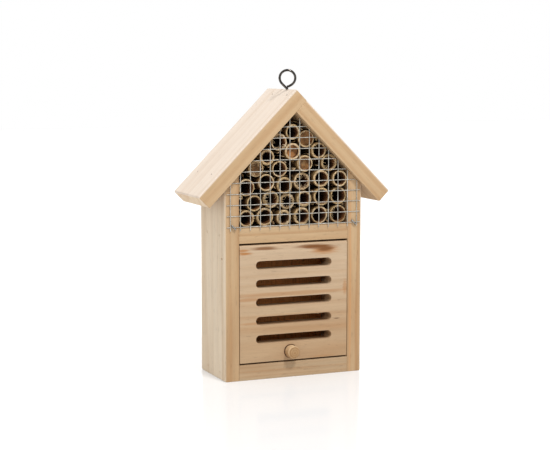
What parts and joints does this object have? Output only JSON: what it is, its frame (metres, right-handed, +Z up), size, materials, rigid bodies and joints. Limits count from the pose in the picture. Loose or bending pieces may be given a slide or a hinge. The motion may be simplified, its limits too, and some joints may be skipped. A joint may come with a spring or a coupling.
{
  "type": "insect hotel",
  "caption": "Small pine insect hotel with a pitched roof, a bamboo nesting loft behind wire mesh, and a slotted flap door that swings up on two pins.",
  "frame": {"origin": "centre of the base footprint at ground level, midway between the side walls and midway between their front and back edges", "axes": "+X to the right seen from the front, +Y from the front to the back, +Z up"},
  "size_m": [0.1562, 0.058, 0.2353],
  "materials": {
    "pine": "sawn and lightly sanded, unfinished",
    "pale_pine": "planed, unfinished",
    "plywood": "sanded, unfinished",
    "dowel_beech": "turned, unfinished",
    "bamboo": "sawn cane",
    "galvanised_wire": "dull zinc",
    "bright_steel": "drawn wire",
    "dark_nickel": "dark plated"
  },
  "bodies": {
    "house": {"wall_left": "pine", "wall_right": "pine", "floor_board": "pine", "shelf_board": "pine", "back_panel": "plywood", "roof_board_left": "pale_pine", "roof_board_right": "pale_pine", "door_stop": "pine", "hinge_pin_left": "bright_steel", "hinge_pin_right": "bright_steel", "hanging_eye": "dark_nickel", "mesh_uprights": "galvanised_wire", "mesh_levels": "galvanised_wire", "mesh_staples": "galvanised_wire", "roof_brads": "bright_steel", "wall_brads": "bright_steel", "back_brads": "bright_steel", "thin_reed": "bamboo", "bamboo_tube_01": "bamboo", "bamboo_tube_02": "bamboo", "bamboo_tube_03": "bamboo", "bamboo_tube_04": "bamboo", "bamboo_tube_05": "bamboo", "bamboo_tube_06": "bamboo", "bamboo_tube_07": "bamboo", "bamboo_tube_08": "bamboo", "bamboo_tube_09": "bamboo", "bamboo_tube_10": "bamboo", "bamboo_tube_11": "bamboo", "bamboo_tube_12": "bamboo", "bamboo_tube_13": "bamboo", "bamboo_tube_14": "bamboo", "bamboo_tube_15": "bamboo", "bamboo_tube_16": "bamboo", "bamboo_tube_17": "bamboo", "bamboo_tube_18": "bamboo", "bamboo_tube_19": "bamboo", "bamboo_tube_20": "bamboo", "bamboo_tube_21": "bamboo", "bamboo_tube_22": "bamboo", "bamboo_tube_23": "bamboo", "bamboo_tube_24": "bamboo", "bamboo_tube_25": "bamboo", "bamboo_tube_26": "bamboo", "bamboo_tube_27": "bamboo", "bamboo_tube_28": "bamboo"},
    "door": {"door_panel": "pine", "door_knob": "dowel_beech"}
  },
  "joints": [
    {"name": "door_swing", "type": "hinge", "parent": "house", "child": "door", "pos_m": [0, -0.02, 0.0933], "axis": [-1, 0, 0], "range_deg": [0, 120]}
  ]
}
